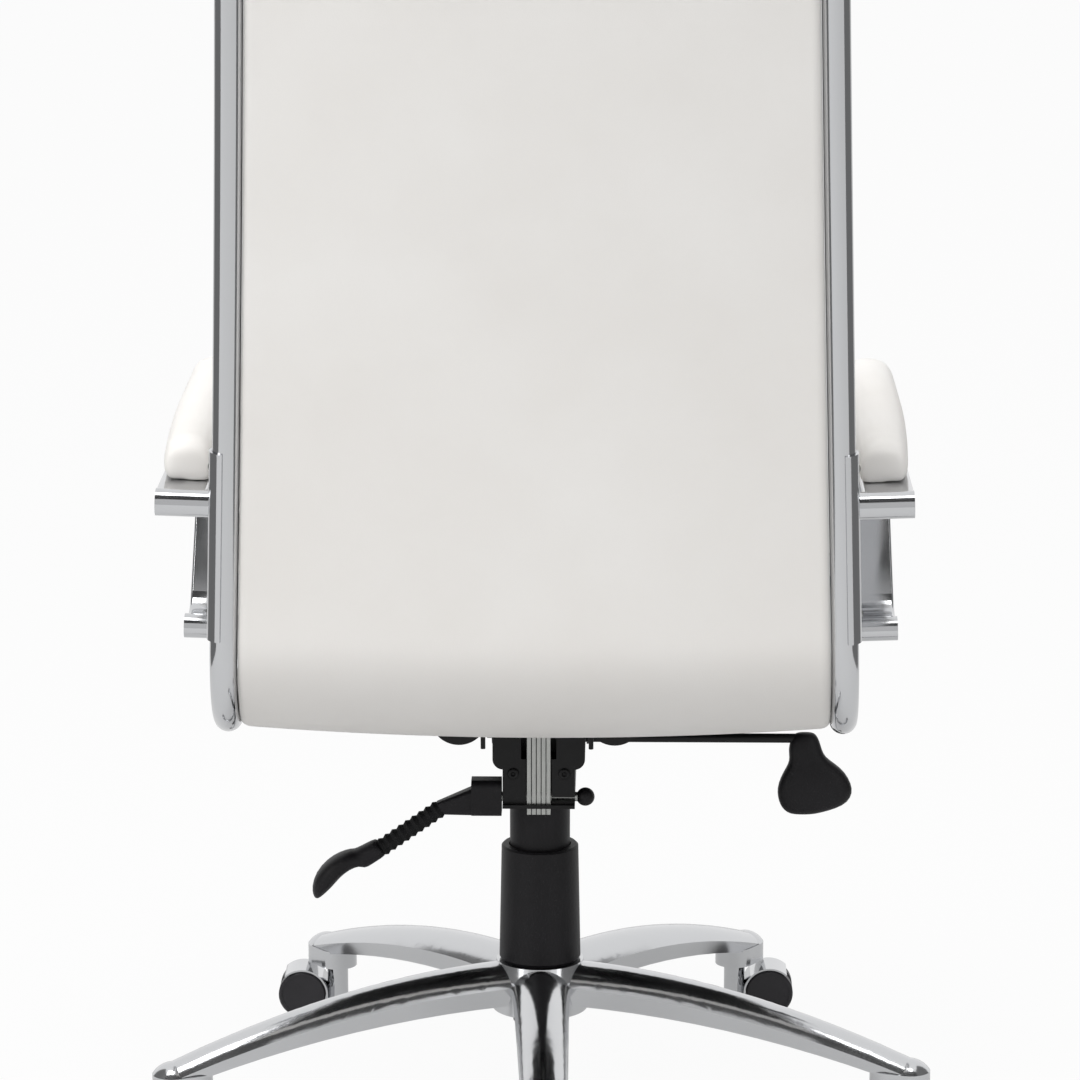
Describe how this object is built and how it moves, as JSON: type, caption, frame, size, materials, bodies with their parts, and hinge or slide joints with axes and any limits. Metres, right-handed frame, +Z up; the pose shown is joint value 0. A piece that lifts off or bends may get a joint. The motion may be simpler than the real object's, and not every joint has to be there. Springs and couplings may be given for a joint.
{
  "type": "swivel office chair",
  "caption": "High-backed swivel office chair in white leather with chrome side rails, strap arms, gas lift, lockable tilt and a star base on twin-wheel casters.",
  "frame": {"origin": "on the floor, on the axis of the gas lift", "axes": "+Z up, the sitter faces -Y, the sitter's left is +X"},
  "size_m": [0.6957, 0.6595, 1.0903],
  "materials": {
    "chrome": "mirror plated",
    "steel": "zinc plated",
    "black_paint": "satin powder coat",
    "dark_plastic": "fine moulded grain",
    "bellows_rubber": "matte",
    "pale_plastic": "moulded",
    "wheel_plastic": "moulded, satin",
    "white_leather": "smooth coated, fine grain",
    "plywood": "stained ply"
  },
  "bodies": {
    "base": {"star_base": "chrome", "caster_stems": "steel", "column_tube": "black_paint", "guide_sleeve": "pale_plastic", "thrust_bearing": "steel", "outer_cover": "dark_plastic"},
    "spindle": {"piston_rod": "steel", "retaining_clip": "steel"},
    "head": {"gas_cylinder": "steel", "inner_cover": "dark_plastic", "tilt_housing": "black_paint", "torsion_bar": "steel", "lever_pivot": "steel"},
    "release_button": {"gas_button": "dark_plastic"},
    "height_lever": {"height_rod": "black_paint", "height_handle": "dark_plastic"},
    "lock_lever": {"lock_shaft": "steel", "lock_arm": "dark_plastic", "lock_bellows": "bellows_rubber", "lock_paddle": "dark_plastic", "ball_knob": "dark_plastic"},
    "seat": {"seat_plate": "black_paint", "seat_screws": "steel", "lamella_pack": "steel", "hanger_pin": "steel", "side_rail_left": "chrome", "side_rail_right": "chrome", "rail_caps": "dark_plastic", "cross_bars": "black_paint", "seat_shell": "plywood", "rear_cover": "white_leather", "seat_cushion": "white_leather", "back_cushion": "white_leather", "arm_frame_left": "chrome", "arm_frame_right": "chrome", "arm_brackets": "chrome", "arm_screws": "steel", "arm_pad_left": "white_leather", "arm_pad_right": "white_leather"},
    "caster_1": {"caster_hood_1": "chrome", "caster_axle_1": "steel"},
    "wheel_1a": {"caster_wheel_1a": "wheel_plastic"},
    "wheel_1b": {"caster_wheel_1b": "wheel_plastic"},
    "caster_2": {"caster_hood_2": "chrome", "caster_axle_2": "steel"},
    "wheel_2a": {"caster_wheel_2a": "wheel_plastic"},
    "wheel_2b": {"caster_wheel_2b": "wheel_plastic"},
    "caster_3": {"caster_hood_3": "chrome", "caster_axle_3": "steel"},
    "wheel_3a": {"caster_wheel_3a": "wheel_plastic"},
    "wheel_3b": {"caster_wheel_3b": "wheel_plastic"},
    "caster_4": {"caster_hood_4": "chrome", "caster_axle_4": "steel"},
    "wheel_4a": {"caster_wheel_4a": "wheel_plastic"},
    "wheel_4b": {"caster_wheel_4b": "wheel_plastic"},
    "caster_5": {"caster_hood_5": "chrome", "caster_axle_5": "steel"},
    "wheel_5a": {"caster_wheel_5a": "wheel_plastic"},
    "wheel_5b": {"caster_wheel_5b": "wheel_plastic"}
  },
  "joints": [
    {"name": "swivel", "type": "hinge", "parent": "base", "child": "spindle", "pos_m": [0, 0, 0.083], "axis": [0, 0, 1], "continuous": true},
    {"name": "lift", "type": "slide", "parent": "spindle", "child": "head", "axis": [0, 0, 1], "range_m": [0, 0.095]},
    {"name": "tilt", "type": "hinge", "parent": "head", "child": "seat", "pos_m": [0, -0.07, 0.318], "axis": [-1, 0, 0], "range_deg": [0, 15], "stiffness_Nm_per_rad": 120, "springref_deg": -20.05},
    {"name": "height_lever", "type": "hinge", "parent": "head", "child": "height_lever", "pos_m": [-0.024, 0, 0.328], "axis": [0, 1, 0], "range_deg": [0, 8], "stiffness_Nm_per_rad": 4, "springref_deg": -8.59},
    {"name": "release_button", "type": "slide", "parent": "head", "child": "release_button", "axis": [0, 0, -1], "range_m": [0, 0.0042]},
    {"name": "lock_lever", "type": "hinge", "parent": "head", "child": "lock_lever", "pos_m": [0, 0.052, 0.29], "axis": [1, 0, 0], "range_deg": [0, 25]},
    {"name": "caster_swivel_1", "type": "hinge", "parent": "base", "child": "caster_1", "pos_m": [-0.00977, 0.31085, 0.03], "axis": [0, 0, 1], "continuous": true},
    {"name": "wheel_spin_1a", "type": "hinge", "parent": "caster_1", "child": "wheel_1a", "pos_m": [-0.00149, 0.34176, 0.0215], "axis": [0.9659, -0.2588, 0], "continuous": true},
    {"name": "wheel_spin_1b", "type": "hinge", "parent": "caster_1", "child": "wheel_1b", "pos_m": [-0.00149, 0.34176, 0.0215], "axis": [0.9659, -0.2588, 0], "continuous": true},
    {"name": "caster_swivel_2", "type": "hinge", "parent": "base", "child": "caster_2", "pos_m": [-0.29865, 0.08677, 0.03], "axis": [0, 0, 1], "continuous": true},
    {"name": "wheel_spin_2a", "type": "hinge", "parent": "caster_2", "child": "wheel_2a", "pos_m": [-0.32316, 0.10733, 0.0215], "axis": [0.6428, 0.766, 0], "continuous": true},
    {"name": "wheel_spin_2b", "type": "hinge", "parent": "caster_2", "child": "wheel_2b", "pos_m": [-0.32316, 0.10733, 0.0215], "axis": [0.6428, 0.766, 0], "continuous": true},
    {"name": "caster_swivel_3", "type": "hinge", "parent": "base", "child": "caster_3", "pos_m": [-0.17481, -0.25722, 0.03], "axis": [0, 0, 1], "continuous": true},
    {"name": "wheel_spin_3a", "type": "hinge", "parent": "caster_3", "child": "wheel_3a", "pos_m": [-0.20681, -0.25722, 0.0215], "axis": [0, 1, 0], "continuous": true},
    {"name": "wheel_spin_3b", "type": "hinge", "parent": "caster_3", "child": "wheel_3b", "pos_m": [-0.20681, -0.25722, 0.0215], "axis": [0, 1, 0], "continuous": true},
    {"name": "caster_swivel_4", "type": "hinge", "parent": "base", "child": "caster_4", "pos_m": [0.19061, -0.24574, 0.03], "axis": [0, 0, 1], "continuous": true},
    {"name": "wheel_spin_4a", "type": "hinge", "parent": "caster_4", "child": "wheel_4a", "pos_m": [0.22261, -0.24574, 0.0215], "axis": [0, -1, 0], "continuous": true},
    {"name": "wheel_spin_4b", "type": "hinge", "parent": "caster_4", "child": "wheel_4b", "pos_m": [0.22261, -0.24574, 0.0215], "axis": [0, -1, 0], "continuous": true},
    {"name": "caster_swivel_5", "type": "hinge", "parent": "base", "child": "caster_5", "pos_m": [0.29261, 0.10535, 0.03], "axis": [0, 0, 1], "continuous": true},
    {"name": "wheel_spin_5a", "type": "hinge", "parent": "caster_5", "child": "wheel_5a", "pos_m": [0.31883, 0.1237, 0.0215], "axis": [0.5736, -0.8192, 0], "continuous": true},
    {"name": "wheel_spin_5b", "type": "hinge", "parent": "caster_5", "child": "wheel_5b", "pos_m": [0.31883, 0.1237, 0.0215], "axis": [0.5736, -0.8192, 0], "continuous": true}
  ],
  "couplings": [
    {"joint": "release_button", "follows": "height_lever", "m_per_rad": 0.0285}
  ]
}
